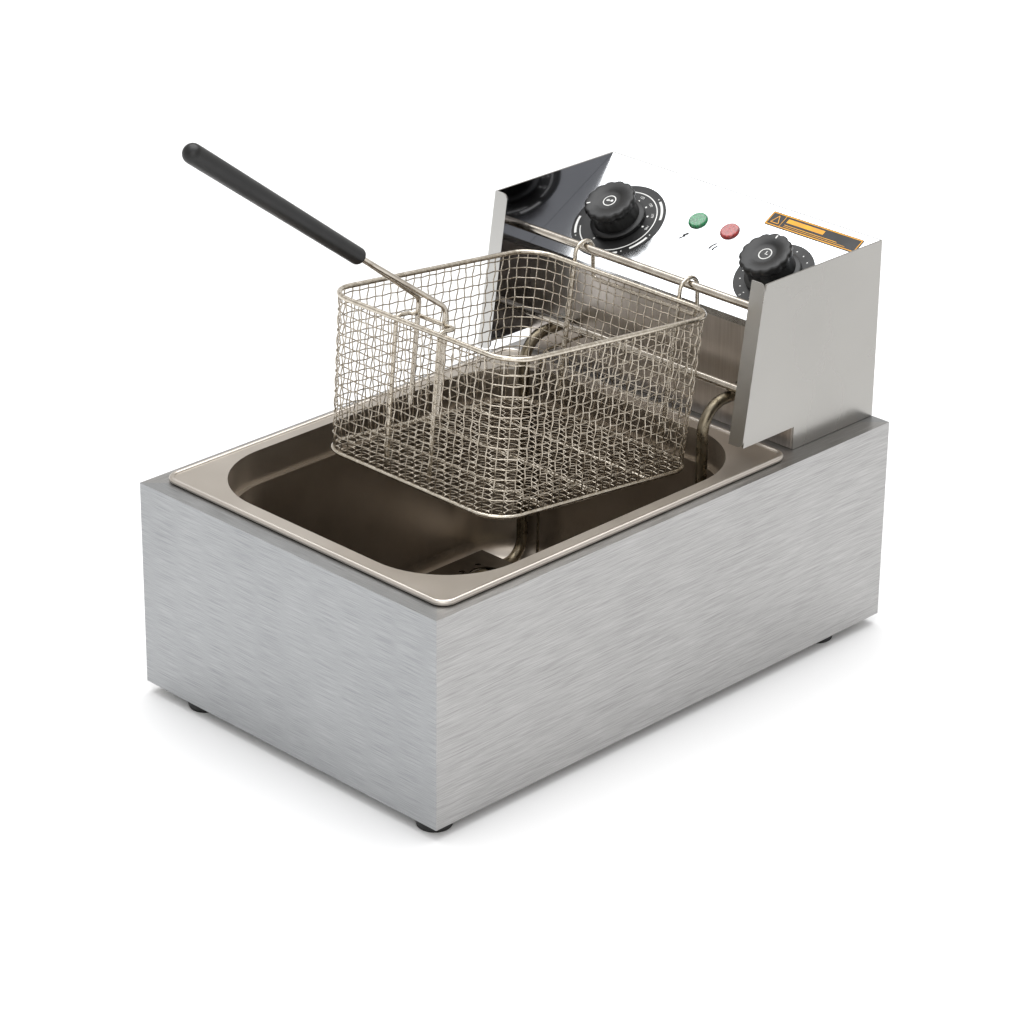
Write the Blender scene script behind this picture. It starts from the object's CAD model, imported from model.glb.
import math
import bmesh
import bpy
from mathutils import Matrix, Vector


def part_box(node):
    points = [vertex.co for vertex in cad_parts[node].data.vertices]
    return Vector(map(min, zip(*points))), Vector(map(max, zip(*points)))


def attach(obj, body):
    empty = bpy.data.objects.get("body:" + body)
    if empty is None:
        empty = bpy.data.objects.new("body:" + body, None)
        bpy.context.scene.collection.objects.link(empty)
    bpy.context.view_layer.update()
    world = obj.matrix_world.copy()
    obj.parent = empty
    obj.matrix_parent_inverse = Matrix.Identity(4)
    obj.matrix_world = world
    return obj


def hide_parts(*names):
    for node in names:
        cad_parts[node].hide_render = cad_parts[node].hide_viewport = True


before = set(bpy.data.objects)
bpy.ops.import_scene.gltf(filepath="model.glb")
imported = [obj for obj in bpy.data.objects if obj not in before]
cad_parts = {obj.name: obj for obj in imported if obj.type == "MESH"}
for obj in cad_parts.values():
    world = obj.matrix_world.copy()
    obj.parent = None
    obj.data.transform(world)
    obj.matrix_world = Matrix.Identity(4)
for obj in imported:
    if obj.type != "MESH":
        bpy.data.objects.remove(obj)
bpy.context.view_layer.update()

print("frame loaded:", len(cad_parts), "nodes")

mm = 0.001


def linear(hexColour):
    # an sRGB hex value as the linear colour that the shader works in
    parts = [int(hexColour[i:i + 2], 16) / 255 for i in (1, 3, 5)]
    return [v / 12.92 if v <= 0.04045 else ((v + 0.055) / 1.055) ** 2.4 for v in parts] + [1]


def addNode(tree, kind, settings={}, links={}):
    # one node, its settings by attribute or input name, its links by input name
    node = tree.nodes.new(kind)
    for key, value in settings.items():
        if isinstance(key, str) and hasattr(node, key):
            setattr(node, key, value)
        else:
            node.inputs[key].default_value = value
    for key, source in links.items():
        tree.links.new(source, node.inputs[key])
    return node


def newMaterial(name, settings):
    material = bpy.data.materials.new(name)
    material.use_nodes = True
    shader = material.node_tree.nodes["Principled BSDF"]
    for key, value in settings.items():
        shader.inputs[key].default_value = value
    return material, material.node_tree, shader


def coordinates(tree, scale, turn=(0, 0, 0)):
    # object coordinates in metres, stretched so that one unit is one feature of the pattern
    place = addNode(tree, "ShaderNodeTexCoord")
    mapping = addNode(tree, "ShaderNodeMapping", {"Scale": scale, "Rotation": turn},
                      {"Vector": place.outputs["Object"]})
    return mapping.outputs["Vector"]


def ramp(tree, source, stops):
    # colour ramp over a 0 to 1 value; stops are (place, hex colour)
    node = addNode(tree, "ShaderNodeValToRGB", {}, {"Fac": source})
    elements = node.color_ramp.elements
    while len(elements) < len(stops):
        elements.new(0.5)
    for element, (place, colour) in zip(elements, stops):
        element.position = place
        element.color = linear(colour)
    return node.outputs["Color"]


def remap(tree, source, low, high, start=0.0, end=1.0):
    node = addNode(tree, "ShaderNodeMapRange",
                   {"From Min": start, "From Max": end, "To Min": low, "To Max": high}, {"Value": source})
    return node.outputs["Result"]


def assign(material, *names):
    for name in names:
        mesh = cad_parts[name].data
        mesh.materials.clear()
        mesh.materials.append(material)


def brushedSteel(name, tone, run, rough=0.3, spread=0.12, scratch=0.1, grain={"length": 26, "width": 0.42}):
    # Cold-rolled stainless sheet with a belt-brushed finish: the belt leaves fine parallel lines, which show
    # as light and dark streaks along the sheet and draw the highlights out across them. The width of a line
    # is drawn twice as coarse as the real 0.2 mm, so that it shows.
    material, tree, shader = newMaterial(name, {"Metallic": 1.0, "Roughness": rough})
    scale = [1 / (grain["width"] * mm)] * 3
    scale["xyz".index(run)] = 1 / (grain["length"] * mm)
    lines = addNode(tree, "ShaderNodeTexNoise", {"Scale": 1.0, "Detail": 3.0, "Roughness": 0.65},
                    {"Vector": coordinates(tree, scale)})
    clouds = addNode(tree, "ShaderNodeTexNoise", {"Scale": 1.0, "Detail": 2.0},
                     {"Vector": coordinates(tree, [1 / (70 * mm)] * 3)})
    mixed = addNode(tree, "ShaderNodeMath", {"operation": "MULTIPLY_ADD", 1: 0.75}, {
        0: lines.outputs["Fac"], 2: remap(tree, clouds.outputs["Fac"], 0.08, 0.17)})
    colour = ramp(tree, mixed.outputs[0], [(0.34, tone[0]), (0.64, tone[1])])
    tree.links.new(colour, shader.inputs["Base Color"])
    tree.links.new(remap(tree, lines.outputs["Fac"], rough - spread / 2, rough + spread / 2, 0.3, 0.7),
                   shader.inputs["Roughness"])
    bump = addNode(tree, "ShaderNodeBump", {"Strength": scratch, "Distance": 0.05 * mm},
                   {"Height": lines.outputs["Fac"]})
    tree.links.new(bump.outputs["Normal"], shader.inputs["Normal"])
    return material


def drawnTankSteel():
    # Deep-drawn 18/8 stainless, matt from pressing and tinted brown by hot oil below the rim. The flange stays
    # a warm grey and the well is darker, with soft cloudy stains.
    look = {"stain": 45, "orangePeel": 0.9, "tintTop": 157.2, "tintBottom": 132}
    material, tree, shader = newMaterial("drawnStainlessTank", {"Metallic": 1.0, "Roughness": 0.27})
    stains = addNode(tree, "ShaderNodeTexNoise", {"Scale": 1.0, "Detail": 4.0},
                     {"Vector": coordinates(tree, [1 / (look["stain"] * mm)] * 3)})
    height = addNode(tree, "ShaderNodeSeparateXYZ", {},
                     {"Vector": addNode(tree, "ShaderNodeTexCoord").outputs["Object"]}).outputs["Z"]
    depth = remap(tree, height, 0.0, 1.0, look["tintTop"] * mm, look["tintBottom"] * mm)
    flange = ramp(tree, stains.outputs["Fac"], [(0.3, "#C8C1B8"), (0.7, "#CEC7BE")])
    well = ramp(tree, stains.outputs["Fac"], [(0.3, "#B7AEA3"), (0.7, "#C4BBB0")])
    blend = addNode(tree, "ShaderNodeMix", {"data_type": "RGBA"}, {0: depth, 6: flange, 7: well})
    tree.links.new(blend.outputs[2], shader.inputs["Base Color"])
    tree.links.new(remap(tree, stains.outputs["Fac"], 0.28, 0.34, 0.3, 0.7), shader.inputs["Roughness"])
    peel = addNode(tree, "ShaderNodeTexNoise", {"Scale": 1.0, "Detail": 2.0},
                   {"Vector": coordinates(tree, [1 / (look["orangePeel"] * mm)] * 3)})
    bump = addNode(tree, "ShaderNodeBump", {"Strength": 0.02, "Distance": 0.03 * mm},
                   {"Height": peel.outputs["Fac"]})
    tree.links.new(bump.outputs["Normal"], shader.inputs["Normal"])
    return material


def polishedSteel(name, tone, rough=0.12, spread=0.08, cloud=30, wave=0.08):
    # Buffed stainless: almost a mirror, broken by faint polishing clouds and a slow waviness of the sheet.
    material, tree, shader = newMaterial(name, {"Metallic": 1.0, "Roughness": rough})
    haze = addNode(tree, "ShaderNodeTexNoise", {"Scale": 1.0, "Detail": 3.0},
                   {"Vector": coordinates(tree, [1 / (cloud * mm)] * 3)})
    colour = ramp(tree, haze.outputs["Fac"], [(0.3, tone[0]), (0.7, tone[1])])
    tree.links.new(colour, shader.inputs["Base Color"])
    tree.links.new(remap(tree, haze.outputs["Fac"], rough - spread / 2, rough + spread / 2, 0.3, 0.7),
                   shader.inputs["Roughness"])
    bump = addNode(tree, "ShaderNodeBump", {"Strength": wave, "Distance": 0.1 * mm},
                   {"Height": haze.outputs["Fac"]})
    tree.links.new(bump.outputs["Normal"], shader.inputs["Normal"])
    return material


def platedWire(name, tone, rough=0.2, mark=2.5):
    # Drawn stainless wire, electropolished after welding: bright, with short draw marks and brown heat tint
    # where the oil has baked on.
    material, tree, shader = newMaterial(name, {"Metallic": 1.0, "Roughness": rough})
    marks = addNode(tree, "ShaderNodeTexNoise", {"Scale": 1.0, "Detail": 3.0},
                    {"Vector": coordinates(tree, [1 / (mark * mm)] * 3)})
    colour = ramp(tree, marks.outputs["Fac"], [(0.35, tone[0]), (0.65, tone[1])])
    tree.links.new(colour, shader.inputs["Base Color"])
    tree.links.new(remap(tree, marks.outputs["Fac"], rough - 0.06, rough + 0.1, 0.3, 0.7),
                   shader.inputs["Roughness"])
    return material


def mouldedPlastic(name, tone, rough, grain=0.5, bumpiness=0.2, coat=0.0):
    # Injection-moulded plastic: the tool's fine spark-eroded grain breaks up the gloss.
    material, tree, shader = newMaterial(name, {"Roughness": rough, "IOR": 1.5, "Coat Weight": coat})
    texture = addNode(tree, "ShaderNodeTexNoise", {"Scale": 1.0, "Detail": 3.0},
                      {"Vector": coordinates(tree, [1 / (grain * mm)] * 3)})
    wear = addNode(tree, "ShaderNodeTexNoise", {"Scale": 1.0, "Detail": 2.0},
                   {"Vector": coordinates(tree, [1 / (14 * mm)] * 3)})
    tree.links.new(ramp(tree, wear.outputs["Fac"], [(0.35, tone[0]), (0.65, tone[1])]),
                   shader.inputs["Base Color"])
    tree.links.new(remap(tree, wear.outputs["Fac"], rough - 0.05, rough + 0.08, 0.3, 0.7),
                   shader.inputs["Roughness"])
    bump = addNode(tree, "ShaderNodeBump", {"Strength": bumpiness, "Distance": 0.04 * mm},
                   {"Height": texture.outputs["Fac"]})
    tree.links.new(bump.outputs["Normal"], shader.inputs["Normal"])
    return material


def lampLens(name, tone):
    # Moulded polycarbonate lens over a neon lamp: clear colour, with small prisms on its inner face.
    material, tree, shader = newMaterial(name, {"Roughness": 0.12, "IOR": 1.58, "Transmission Weight": 0.35,
                                                "Coat Weight": 0.6, "Coat Roughness": 0.05})
    prisms = addNode(tree, "ShaderNodeTexVoronoi", {"Scale": 1.0},
                     {"Vector": coordinates(tree, [1 / (1.6 * mm)] * 3)})
    tree.links.new(ramp(tree, prisms.outputs["Distance"], [(0.1, tone[1]), (0.8, tone[0])]),
                   shader.inputs["Base Color"])
    bump = addNode(tree, "ShaderNodeBump", {"Strength": 0.35, "Distance": 0.3 * mm},
                   {"Height": prisms.outputs["Distance"]})
    tree.links.new(bump.outputs["Normal"], shader.inputs["Normal"])
    return material


acrossSteel = brushedSteel("brushedStainlessAcross", ("#8A8C8E", "#B5B6B7"), "x", 0.36)
alongSteel = brushedSteel("brushedStainlessAlong", ("#929190", "#BBBAB9"), "y", 0.36)
assign(acrossSteel, "casing_front_panel", "casing_rear_panel", "rear_deck", "head_rear_cover", "base_plate")
assign(alongSteel, "casing_left_panel", "casing_right_panel")
assign(polishedSteel("satinStainlessPlate", ("#A5A39F", "#ACAAA6"), 0.28, 0.03, 110, 0.0), "head_right_plate")
uprightSteel = brushedSteel("brushedStainlessUpright", ("#C4BCB5", "#D6CEC7"), "z", 0.34, 0.06, 0.03,
                            {"length": 60, "width": 1.6})
assign(uprightSteel, "head_front_plate", "head_floor")


def tintedSidePlate():
    # Mirror sheet bent into the side plate. The real one mirrors dark surroundings that this scene doesn't have, so
    # both broad faces are tinted darker as a stand-in, and the bent-over front edge is bright.
    material, tree, shader = newMaterial("mirrorStainlessSidePlate", {"Metallic": 1.0, "Roughness": 0.1})
    facing = addNode(tree, "ShaderNodeNewGeometry").outputs["Normal"]
    across = addNode(tree, "ShaderNodeSeparateXYZ", {}, {"Vector": facing}).outputs["X"]
    broad = addNode(tree, "ShaderNodeMath", {"operation": "ABSOLUTE"}, {0: across}).outputs[0]
    tree.links.new(ramp(tree, broad, [(0.4, "#C4C3C0"), (0.9, "#7A7A7D")]), shader.inputs["Base Color"])
    return material


assign(tintedSidePlate(), "head_left_plate")
panelSteel = polishedSteel("mirrorStainlessPanel", ("#CBCDCF", "#D3D5D7"), 0.2, 0.04, 60, 0.01)
assign(panelSteel, "control_panel")
assign(drawnTankSteel(), "oil_tank")
guardSteel = brushedSteel("heatTintedGuardPlate", ("#4A433B", "#5E564C"), "x", 0.38, 0.1)
assign(guardSteel, "guard_plate")
rodSteel = platedWire("polishedStainlessRod", ("#B5ADA2", "#CCC5BA"), 0.14, 8)
assign(rodSteel, "upper_basket_rod", "lower_basket_rod", "handle_wires")
assign(platedWire("nickelAlloyHeaterTube", ("#6E6554", "#8A8170"), 0.26, 9), "heating_element", "thermostat_bulb")
wireSteel = platedWire("electropolishedBasketWire", ("#BDB4A5", "#D8D0C3"), 0.2, 3)
assign(wireSteel, "basket_rim", "basket_bottom_frame", "basket_cross_wires", "basket_hanger", "handle_socket")
meshSteel = platedWire("electropolishedMeshWire", ("#A39A8C", "#CDC4B6"), 0.2, 4)
assign(polishedSteel("nickelPlatedBrassNut", ("#8B8882", "#A5A29B"), 0.26, 0.08, 4), "element_nuts")
screwSteel = polishedSteel("zincPlatedScrew", ("#A8AAAC", "#BFC1C3"), 0.25, 0.1, 3)
assign(screwSteel, "foot_screws", "rear_cover_screws", "thermostat_shaft", "timer_shaft")
assign(mouldedPlastic("mouldedNitrileFoot", ("#0C0C0C", "#191919"), 0.6, 0.6, 0.4),
       "foot_front_left", "foot_front_right", "foot_rear_left", "foot_rear_right")
knobPlastic = mouldedPlastic("mouldedPhenolicKnob", ("#070707", "#101010"), 0.36, 0.35, 0.2)
assign(mouldedPlastic("mouldedNylonFitting", ("#0D0D0D", "#1C1C1C"), 0.45), "cable_gland", "reset_bush")
assign(mouldedPlastic("mouldedControlBody", ("#2A2A2A", "#3A3A3A"), 0.5),
       "thermostat_body", "timer_body", "green_lamp_body", "red_lamp_body", "terminal_block", "overheat_cutout")
assign(mouldedPlastic("mouldedResetButton", ("#7C1713", "#932019"), 0.4), "reset_button")
assign(mouldedPlastic("dippedVinylGrip", ("#040404", "#090909"), 0.4, 1.2, 0.1), "handle_grip")
assign(lampLens("greenPolycarbonateLens", ("#046B3C", "#12A866")), "green_lamp_lens")
assign(lampLens("redPolycarbonateLens", ("#8E1512", "#D0362F")), "red_lamp_lens")
filmBlack = mouldedPlastic("screenPrintedBlackFilm", ("#0B0B0B", "#141414"), 0.42, 0.6, 0.1)
inkWhite = mouldedPlastic("screenPrintedWhiteInk", ("#D9D9D6", "#E8E8E5"), 0.5, 0.4, 0.1)
inkBlack = mouldedPlastic("screenPrintedBlackInk", ("#101010", "#1C1C1C"), 0.5, 0.4, 0.1)
inkYellow = mouldedPlastic("screenPrintedYellowInk", ("#D8930C", "#EBA91C"), 0.45, 0.4, 0.1)
print("materials done:", len(bpy.data.materials))


weave = {"pitch": 7.1, "wire": 0.9, "sides": 2, "corner": 22, "flat": 0.22, "rimRadius": 1.75, "frameRadius": 1.5}


def basketFrame():
    # the basket's tilted plane, its size at the rim and at the bottom, all from the rim and bottom wires
    rimLow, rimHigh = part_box("basket_rim")
    footLow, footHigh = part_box("basket_bottom_frame")
    rim = weave["rimRadius"] * mm
    foot = weave["frameRadius"] * mm
    span = rimHigh - rimLow - Vector((2 * rim, 2 * rim, 2 * rim))
    footSpan = footHigh - footLow - Vector((2 * foot, 2 * foot, 2 * foot))
    tilt = math.atan2(span.z, span.y)
    centre = (rimLow + rimHigh) / 2
    matrix = Matrix.Translation(centre) @ Matrix.Rotation(-tilt, 4, "X")
    return {"matrix": matrix, "depth": (centre - (footLow + footHigh) / 2).length,
            "half": (span.x / 2, math.hypot(span.y, span.z) / 2),
            "footHalf": (footSpan.x / 2, math.hypot(footSpan.y, footSpan.z) / 2)}


basket = basketFrame()
print("basket frame: depth %.1f mm" % (basket["depth"] / mm))


def outline(half, corner, share):
    # point and outward direction at a share of the way round a rounded rectangle
    flat = (half[0] - corner, half[1] - corner)
    arc = math.pi / 2 * corner
    runs = [2 * flat[1], arc, 2 * flat[0], arc] * 2
    left = (share % 1.0) * sum(runs)
    turn = 0
    for index, run in enumerate(runs):
        if left <= run or index == 7:
            break
        left -= run
        turn += index % 2
    along = left / run
    side = Matrix.Rotation(math.pi / 2 * turn, 2)
    sizeA, sizeB = (flat if turn % 2 == 0 else flat[::-1])
    if index % 2 == 0:
        point, normal = Vector((sizeA + corner, -sizeB + left)), Vector((1, 0))
    else:
        angle = along * math.pi / 2
        normal = Vector((math.cos(angle), math.sin(angle)))
        point = Vector((sizeA, sizeB)) + corner * normal
    return side @ point, side @ normal


def wallPoint(share, down, offset):
    # a point of the wall at a share of the way round and down, pushed outwards by offset
    half = [a + (b - a) * down for a, b in zip(basket["half"], basket["footHalf"])]
    point, normal = outline(half, weave["corner"] * mm, share)
    point += normal * offset
    return Vector((point.x, point.y, -down * basket["depth"]))


def wires(name, paths, radius):
    # round wires along straight runs, all in one mesh
    curve = bpy.data.curves.new(name, "CURVE")
    curve.dimensions = "3D"
    curve.bevel_depth = radius
    curve.bevel_resolution = weave["sides"]
    curve.use_fill_caps = True
    for path in paths:
        spline = curve.splines.new("POLY")
        spline.points.add(len(path["points"]) - 1)
        for target, point in zip(spline.points, path["points"]):
            target.co = (*point, 1)
        spline.use_cyclic_u = path["closed"]
    holder = bpy.data.objects.new(name, curve)
    bpy.context.scene.collection.objects.link(holder)
    mesh = bpy.data.meshes.new_from_object(holder)
    bpy.data.objects.remove(holder)
    mesh.transform(basket["matrix"])
    return finished(name, mesh)


def finished(name, mesh, *materials):
    piece = bpy.data.objects.new(name, mesh)
    bpy.context.scene.collection.objects.link(piece)
    for material in materials:
        mesh.materials.append(material)
    return piece


def wovenWalls():
    pitch, radius = weave["pitch"] * mm, weave["wire"] * mm / 2
    around = 2 * (sum(basket["half"]) * 2) - (8 - 2 * math.pi) * weave["corner"] * mm
    columns = 2 * round(around / pitch / 2)
    rows = int((basket["depth"] - pitch / 2) / pitch)
    rowDown = [(row + 0.6) * pitch / basket["depth"] for row in range(rows)]
    paths = []
    for column in range(columns):
        points = [wallPoint(column / columns, 0.004, 0)]
        for row, down in enumerate(rowDown):
            way = radius if (column + row) % 2 else -radius
            step = weave["flat"] * pitch / basket["depth"]
            points += [wallPoint(column / columns, down + side * step, way) for side in (-1, 1)]
        points.append(wallPoint(column / columns, 0.995, 0))
        paths.append({"points": points, "closed": False})
    for row, down in enumerate(rowDown):
        points = []
        for column in range(columns):
            way = -radius if (column + row) % 2 else radius
            points += [wallPoint((column + side * weave["flat"]) / columns, down, way) for side in (-1, 1)]
        paths.append({"points": points, "closed": True})
    piece = wires("basketWovenWalls", paths, radius)
    print("woven walls:", columns, "upright wires,", rows, "rings,", len(piece.data.polygons), "faces")
    return piece


def wovenFloor():
    pitch, radius = weave["pitch"] * mm, weave["wire"] * mm / 2
    half, corner = basket["footHalf"], weave["corner"] * mm
    height = -basket["depth"] + weave["frameRadius"] * mm + 2 * radius
    counts = [2 * int(size / pitch) + 1 for size in half]
    places = [[(index - (count - 1) / 2) * pitch for index in range(count)] for count in counts]

    def reach(axis, across):
        # half the length of a wire that crosses the rounded floor
        over = abs(across) - (half[1 - axis] - corner)
        return half[axis] - corner + (math.sqrt(max(corner ** 2 - over ** 2, 0)) if over > 0 else corner)

    paths = []
    for axis in (0, 1):
        for line, across in enumerate(places[1 - axis]):
            end = reach(axis, across)
            points = []
            for cross, along in enumerate(places[axis]):
                if abs(along) > end - weave["flat"] * pitch:
                    continue
                way = radius if (line + cross + axis) % 2 else -radius
                points += [(along + side * weave["flat"] * pitch, way) for side in (-1, 1)]
            points = [(-end, 0)] + points + [(end, 0)]
            paths.append({"closed": False, "points": [
                Vector((a, across, height + w)) if axis == 0 else Vector((across, a, height + w))
                for a, w in points]})
    piece = wires("basketWovenFloor", paths, radius)
    print("woven floor:", len(paths), "wires,", len(piece.data.polygons), "faces")
    return piece


for piece, node in ((wovenWalls(), "basket_mesh_walls"), (wovenFloor(), "basket_mesh_floor")):
    piece.data.materials.append(meshSteel)
    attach(piece, "basket")
    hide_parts(node)


dialDisc = {"low": 0.05, "high": 0.5}   # millimetres above the panel


def discFrame(node):
    # the place and slope of the panel under a dial, from the box of its thin disc
    low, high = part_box(node)
    size = high - low
    thick = (dialDisc["high"] - dialDisc["low"]) * mm
    share = size.x ** 2 - thick ** 2
    cosine = (size.x * size.y - thick * size.z) / share
    sine = (size.x * size.z - thick * size.y) / share
    turn = Matrix(((1, 0, 0), (0, cosine, -sine), (0, sine, cosine))).to_4x4()
    lift = turn @ Vector((0, 0, (dialDisc["low"] + dialDisc["high"]) / 2 * mm))
    return Matrix.Translation((low + high) / 2 - lift) @ turn


def ringBand(bm, inner, outer, start, sweep, steps=48, height=0.0):
    # flat printed band: an edge is spun round the middle, then given its thickness; sizes in mm and degrees
    ends = [bm.verts.new((math.cos(math.radians(start)) * r * mm, math.sin(math.radians(start)) * r * mm,
                          height * mm)) for r in (inner, outer)]
    edge = bm.edges.new(ends)
    full = abs(sweep) >= 360
    bmesh.ops.spin(bm, geom=ends + [edge], cent=(0, 0, 0), axis=(0, 0, 1), angle=math.radians(sweep),
                   steps=steps, use_merge=full)


def thicken(bm, thick):
    # closes flat shapes into thin plates, with their faces outwards
    bmesh.ops.remove_doubles(bm, verts=bm.verts, dist=1e-7)
    bmesh.ops.recalc_face_normals(bm, faces=bm.faces)
    for face in bm.faces:
        if face.normal.z < 0:
            face.normal_flip()
    top = bmesh.ops.extrude_face_region(bm, geom=list(bm.faces), use_keep_orig=True)
    bmesh.ops.translate(bm, verts=[v for v in top["geom"] if isinstance(v, bmesh.types.BMVert)],
                        vec=(0, 0, thick * mm))
    bmesh.ops.recalc_face_normals(bm, faces=bm.faces)


def dot(bm, radius, angle, size, height):
    place = Matrix.Translation((radius * math.cos(math.radians(angle)) * mm,
                                radius * math.sin(math.radians(angle)) * mm, height * mm))
    bmesh.ops.create_circle(bm, cap_ends=True, segments=20, radius=size * mm, matrix=place)


def bar(bm, start, end, width, height):
    # straight printed stroke between two points of the panel, in mm
    a, b = Vector(start), Vector(end)
    side = Vector((-(b - a).y, (b - a).x)).normalized() * width / 2
    corners = [bm.verts.new((p.x * mm, p.y * mm, height * mm)) for p in (a - side, b - side, b + side, a + side)]
    bm.faces.new(corners)


def number(bm, words, size, radius, angle, height):
    # a number of the dial, standing with its foot towards the middle
    text = bpy.data.curves.new("number", "FONT")
    text.body, text.size = words, size * mm
    text.align_x, text.align_y = "CENTER", "CENTER"
    holder = bpy.data.objects.new("number", text)
    bpy.context.scene.collection.objects.link(holder)
    mesh = bpy.data.meshes.new_from_object(holder)
    bpy.data.objects.remove(holder)
    mesh.transform(Matrix.Rotation(math.radians(angle), 4, "Z") @ Matrix.Translation((radius * mm, 0, height * mm))
                   @ Matrix.Rotation(-math.pi / 2, 4, "Z"))
    bm.from_mesh(mesh)
    bpy.data.meshes.remove(mesh)


def printed(name, bm, thick, matrix, material, body):
    thicken(bm, thick)
    mesh = bpy.data.meshes.new(name)
    bm.to_mesh(mesh)
    bm.free()
    mesh.transform(matrix)
    piece = finished(name, mesh, material)
    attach(piece, body)
    return piece


def dialPlate(name, node, radius):
    # black disc with a small rounded edge, as one spun section
    bm = bmesh.new()
    edge = 0.12
    section = [(6, dialDisc["low"]), (radius, dialDisc["low"]), (radius, dialDisc["high"] - edge),
               (radius - edge, dialDisc["high"]), (6, dialDisc["high"])]
    verts = [bm.verts.new((r * mm, 0, h * mm)) for r, h in section]
    edges = [bm.edges.new((a, b)) for a, b in zip(verts, verts[1:] + verts[:1])]
    bmesh.ops.spin(bm, geom=verts + edges, cent=(0, 0, 0), axis=(0, 0, 1), angle=2 * math.pi, steps=96,
                   use_merge=True)
    bmesh.ops.remove_doubles(bm, verts=bm.verts, dist=1e-7)
    bmesh.ops.recalc_face_normals(bm, faces=bm.faces)
    mesh = bpy.data.meshes.new(name)
    bm.to_mesh(mesh)
    bm.free()
    mesh.transform(discFrame(node))
    piece = finished(name, mesh, filmBlack)
    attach(piece, "control_head")
    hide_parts(node)
    return piece


thermostatPrint = {"radius": 35, "ring": (28.2, 29.0), "ringFrom": -150, "ringSweep": 335, "dotRing": 21.6,
                   "numberRing": 25.2, "off": -107, "first": 165, "step": -26.6,
                   "numbers": ("60", "80", "100", "120", "150", "170", "190"),
                   "bands": ((-168, 30), (-118, 22), (-78, 26), (-36, 26), (22, 34)), "bandRing": (31.2, 33.0)}
timerPrint = {"radius": 29, "dotRing": 24, "dots": 20, "from": -114, "size": 0.55}
printHeight = dialDisc["high"] + 0.01


def thermostatFace():
    look = thermostatPrint
    dialPlate("thermostatDialPlate", "thermostat_dial", look["radius"])
    bm = bmesh.new()
    ringBand(bm, *look["ring"], look["ringFrom"], look["ringSweep"], 96, printHeight)
    for start, sweep in look["bands"]:
        ringBand(bm, *look["bandRing"], start, sweep, 16, printHeight)
        dot(bm, sum(look["bandRing"]) / 2, start + sweep + 5, 0.5, printHeight)
    dot(bm, look["dotRing"], look["off"], 0.8, printHeight)
    number(bm, "0", 2.8, look["numberRing"], look["off"], printHeight)
    for index, words in enumerate(look["numbers"]):
        angle = look["first"] + index * look["step"]
        dot(bm, look["dotRing"], angle, 0.8, printHeight)
        number(bm, words, 2.8, look["numberRing"], angle, printHeight)
    printed("thermostatDialPrint", bm, 0.04, discFrame("thermostat_dial"), inkWhite, "control_head")


def timerFace():
    look = timerPrint
    dialPlate("timerDialPlate", "timer_dial", look["radius"])
    bm = bmesh.new()
    for index in range(look["dots"]):
        dot(bm, look["dotRing"], look["from"] - index * 360 / look["dots"], look["size"], printHeight)
    number(bm, "0", 2.6, look["dotRing"] + 2.9, look["from"], printHeight)
    printed("timerDialPrint", bm, 0.04, discFrame("timer_dial"), inkWhite, "control_head")


thermostatMatrix, timerMatrix = discFrame("thermostat_dial"), discFrame("timer_dial")
thermostatFace()
timerFace()

knobShape = {"lobes": 14, "scallop": 0.95, "stepsPerLobe": 10, "icon": 4.6, "tick": 1.0,
             "section": ((7.5, 1.2), (20, 1.2), (20, 3.6), (19.2, 4.3), (16.9, 4.9), (16.5, 12), (16.9, 15.0),
                         (18.4, 16.2), (18.9, 17.2), (18.9, 20.3), (18.5, 21.3), (17.7, 21.9), (16.7, 22.0),
                         (10.4, 21.6), (9.4, 21.0), (7.5, 20.6), (4.5, 20.5), (0, 20.5)),
             "scallopFrom": 14.0}


def knob(name, node, matrix, body):
    # the section is spun once, then the upper grip is drawn in between its lobes
    bm = bmesh.new()
    verts = [bm.verts.new((r * mm, 0, h * mm)) for r, h in knobShape["section"]]
    edges = [bm.edges.new(pair) for pair in zip(verts, verts[1:])]
    bmesh.ops.spin(bm, geom=verts + edges, cent=(0, 0, 0), axis=(0, 0, 1), angle=2 * math.pi,
                   steps=knobShape["lobes"] * knobShape["stepsPerLobe"], use_merge=True)
    bmesh.ops.remove_doubles(bm, verts=bm.verts, dist=1e-7)
    for vert in bm.verts:
        flat = math.hypot(vert.co.x, vert.co.y)
        if vert.co.z > knobShape["scallopFrom"] * mm and flat > 12 * mm:
            angle = math.atan2(vert.co.y, vert.co.x) * knobShape["lobes"]
            draw = knobShape["scallop"] * mm * (0.5 - 0.5 * math.cos(angle)) ** 2
            shrink = (flat - draw * min(1, (flat / mm - 12) / 5)) / flat
            vert.co.x *= shrink
            vert.co.y *= shrink
    rim = [e for e in bm.edges if e.is_boundary]
    bmesh.ops.holes_fill(bm, edges=rim, sides=0)
    bmesh.ops.recalc_face_normals(bm, faces=bm.faces)
    mesh = bpy.data.meshes.new(name)
    bm.to_mesh(mesh)
    bm.free()
    mesh.transform(matrix)
    piece = finished(name, mesh, knobPlastic)
    mesh.shade_smooth()
    mesh.set_sharp_from_angle(angle=math.radians(40))
    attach(piece, body)
    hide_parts(node)
    return piece


def knobMarks(name, matrix, body, pointer, strokes, bulbs):
    # ring, little picture and pointer tick, inlaid in white
    bm = bmesh.new()
    height = 20.52
    ringBand(bm, knobShape["icon"] - 0.35, knobShape["icon"] + 0.35, 0, 360, 48, height)
    for start, end in strokes:
        bar(bm, start, end, 0.6, height)
    for radius, angle, size in bulbs:
        dot(bm, radius, angle, size, height)
    angle = math.radians(pointer)
    way = Vector((math.cos(angle), math.sin(angle)))
    bar(bm, way * 13.8, way * 16.6, knobShape["tick"], 22.0)
    printed(name, bm, 0.05, matrix, inkWhite, body)


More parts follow.
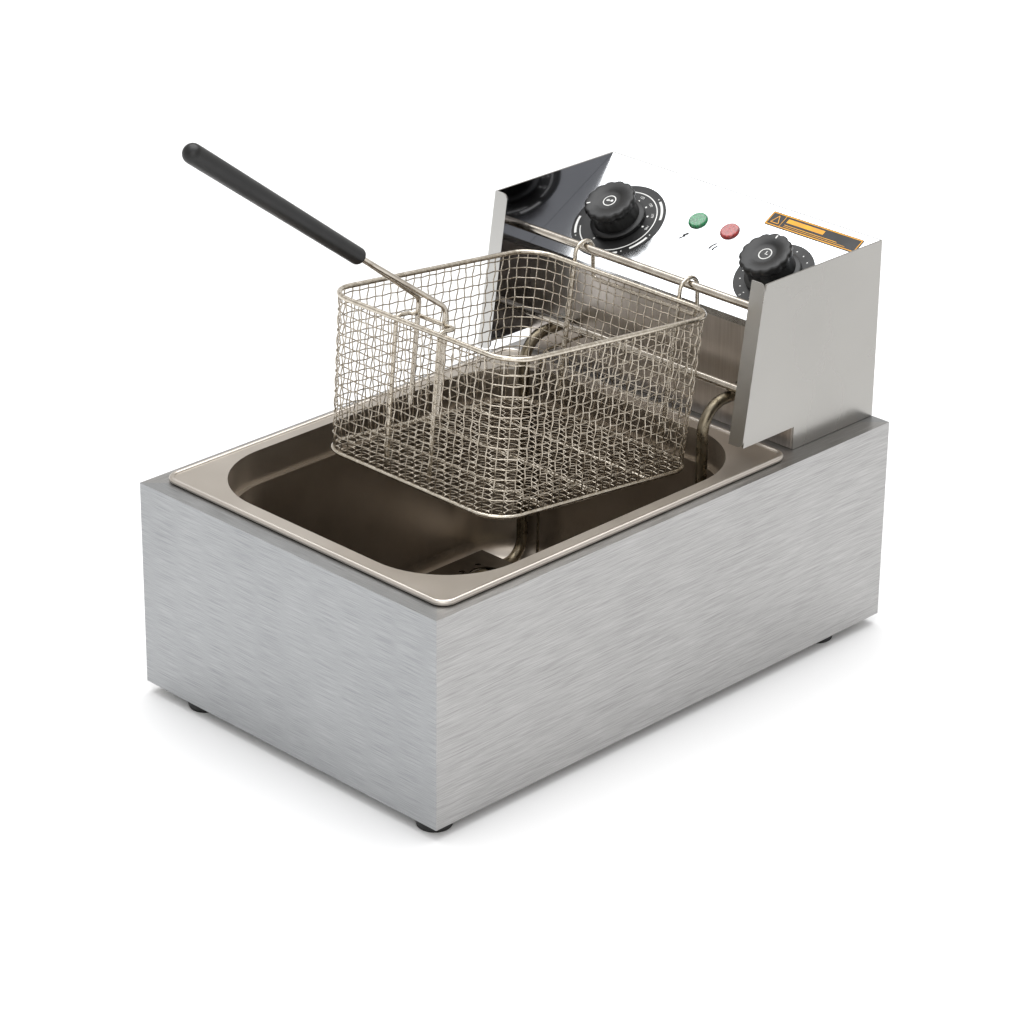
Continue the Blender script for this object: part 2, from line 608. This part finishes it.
knob("thermostatKnobShell", "thermostat_knob", thermostatMatrix, "thermostat_knob")
knob("timerKnobShell", "timer_knob", timerMatrix, "timer_knob")
knobMarks("thermostatKnobMarks", thermostatMatrix, "thermostat_knob", -146,
          [((-2.6, -0.7), (1.2, 0.3)), ((-2.6, 0.3), (-0.6, 0.9))], [(1.9, 20, 1.0)])
knobMarks("timerKnobMarks", timerMatrix, "timer_knob", 94, [((0, 0), (0, 2.7)), ((0, 0), (2.0, 0))],
          [(0, 0, 0.45)])
print("dials and knobs done")


def panelMatrix(x, up):
    # a place on the sloping panel: x from the middle, up measured along the slope from the dials' middle
    middle = (thermostatMatrix.translation + timerMatrix.translation) / 2
    turn = thermostatMatrix.to_3x3().to_4x4()
    above = middle + turn @ Vector((x * mm, up * mm, 5 * mm))
    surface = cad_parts["control_panel"].ray_cast(above, turn @ Vector((0, 0, -1)))[1]
    return Matrix.Translation(surface) @ turn


def panelSigns():
    # plain bolt under the green lamp and plain flame under the red one
    bolt = {"x": -15.2, "up": 6.6}
    flame = {"x": 12.6, "up": 5.5}
    bm = bmesh.new()
    for start, end, width in (((1.7, 3.2), (-1.1, -0.2), 2.0), ((-1.1, -0.2), (0.9, 0.2), 1.2),
                              ((0.9, 0.2), (-2.3, -3.6), 1.2)):
        bar(bm, start, end, width, 0.02)
    printed("panelBoltSign", bm, 0.04, panelMatrix(bolt["x"], bolt["up"]), inkBlack, "control_head")
    bm = bmesh.new()
    for start, end, width in (((-2.2, -2.6), (-1.8, 0.7), 1.5), ((-1.8, 0.7), (0.4, 3.8), 1.3),
                              ((1.1, -2.8), (1.1, -0.2), 1.5), ((1.1, -0.2), (2.7, 1.7), 1.3)):
        bar(bm, start, end, width, 0.02)
    printed("panelFlameSign", bm, 0.04, panelMatrix(flame["x"], flame["up"]), inkBlack, "control_head")


panelSigns()

label = {"width": 80, "height": 12.6, "thick": 0.3, "border": 0.8, "inset": 0.5, "low": 0.05}


def plainLabel():
    # black film with a yellow border, an empty triangle and plain bars instead of words
    low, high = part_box("hazard_label")
    turn = thermostatMatrix.to_3x3().to_4x4()
    place = Matrix.Translation((low + high) / 2) @ turn
    assign(filmBlack, "hazard_label")
    half = (label["width"] / 2 - label["inset"], label["height"] / 2 - label["inset"])
    height = label["thick"] / 2 + 0.01
    bm = bmesh.new()
    wide = label["border"]
    for sign in (-1, 1):
        bar(bm, (-half[0], sign * (half[1] - wide / 2)), (half[0], sign * (half[1] - wide / 2)), wide, height)
        bar(bm, (sign * (half[0] - wide / 2), -half[1] + wide), (sign * (half[0] - wide / 2), half[1] - wide),
            wide, height)
    bar(bm, (-27.5, -half[1] + wide), (-27.5, half[1] - wide), 0.4, height)
    corners = [(-36.4, -3.2), (-29.6, -3.2), (-33.0, 3.6)]
    for a, b in zip(corners, corners[1:] + corners[:1]):
        bar(bm, a, b, 0.6, height)
    bar(bm, (-24.5, 1.6), (8, 1.6), 3.6, height)
    bar(bm, (-24.5, -2.4), (22, -2.4), 0.5, height)
    bar(bm, (-24.5, -3.8), (30, -3.8), 0.4, height)
    printed("hazardLabelPrint", bm, 0.03, place, inkYellow, "control_head")


plainLabel()
print("panel print done")


camera = {"place": (1.49024, -1.50314, 1.11318), "azimuth": 44.407, "elevation": 25.149, "roll": 0.673,
          "lens": 122.37, "sensor": 36}
studio = {"floorSize": 12, "keySize": 2.4, "keyPower": 50, "fillSize": 1.6, "fillPower": 10}


def makeCamera():
    azimuth, elevation, roll = (math.radians(camera[k]) for k in ("azimuth", "elevation", "roll"))
    back = Vector((math.sin(azimuth) * math.cos(elevation), -math.cos(azimuth) * math.cos(elevation),
                   math.sin(elevation)))
    right = Vector((0, 0, 1)).cross(back).normalized()
    up = back.cross(right)
    turnedRight = math.cos(roll) * right + math.sin(roll) * up
    turnedUp = math.cos(roll) * up - math.sin(roll) * right
    data = bpy.data.cameras.new("studioCamera")
    data.lens, data.sensor_width = camera["lens"], camera["sensor"]
    data.clip_start, data.clip_end = 0.05, 50
    holder = bpy.data.objects.new("studioCamera", data)
    bpy.context.scene.collection.objects.link(holder)
    turn = Matrix((turnedRight, turnedUp, back)).transposed()
    holder.matrix_world = Matrix.Translation(camera["place"]) @ turn.to_4x4()
    bpy.context.scene.camera = holder


def makeFloor():
    bm = bmesh.new()
    bmesh.ops.create_grid(bm, x_segments=1, y_segments=1, size=studio["floorSize"] / 2)
    mesh = bpy.data.meshes.new("studioFloor")
    bm.to_mesh(mesh)
    bm.free()
    material, tree, shader = newMaterial("paintedStudioFloor", {"Roughness": 0.7, "Specular IOR Level": 0.2})
    speckle = addNode(tree, "ShaderNodeTexNoise", {"Scale": 1.0, "Detail": 2.0},
                      {"Vector": coordinates(tree, [1 / (400 * mm)] * 3)})
    tree.links.new(ramp(tree, speckle.outputs["Fac"], [(0.3, "#F3F3F3"), (0.7, "#F7F7F7")]),
                   shader.inputs["Base Color"])
    floor = finished("studioFloor", mesh, material)


def softbox(name, place, target, size, power, colour="#FFFFFF"):
    data = bpy.data.lights.new(name, "AREA")
    data.shape, data.size, data.energy = "SQUARE", size, power
    data.color = linear(colour)[:3]
    holder = bpy.data.objects.new(name, data)
    bpy.context.scene.collection.objects.link(holder)
    way = Vector(place) - Vector(target)
    holder.matrix_world = Matrix.Translation(place) @ way.to_track_quat("Z", "Y").to_matrix().to_4x4()


def makeWorld():
    # pale room: bright at the horizon, greyer above, so that upright sheets shine and flat ones stay calm
    world = bpy.data.worlds.new("studioWorld")
    world.use_nodes = True
    bpy.context.scene.world = world
    tree = world.node_tree
    direction = addNode(tree, "ShaderNodeTexCoord").outputs["Generated"]
    height = addNode(tree, "ShaderNodeSeparateXYZ", {}, {"Vector": direction}).outputs["Z"]
    sky = ramp(tree, height, [(0.0, "#FFFFFF"), (0.12, "#F6F6F5"), (0.42, "#BDB8B1"), (0.72, "#FBFCFE"),
                              (1.0, "#E4E6E9")])
    background = tree.nodes["Background"]
    background.inputs["Strength"].default_value = 1.0
    tree.links.new(sky, background.inputs["Color"])


makeCamera()
makeFloor()
makeWorld()
softbox("keySoftbox", (-0.25, 0.3, 2.4), (0, 0, 0), studio["keySize"], studio["keyPower"])
softbox("fillSoftbox", (1.3, -1.4, 1.3), (0, 0, 0.15), studio["fillSize"], studio["fillPower"])
bpy.context.scene.view_settings.view_transform = "Standard"
print("studio done")
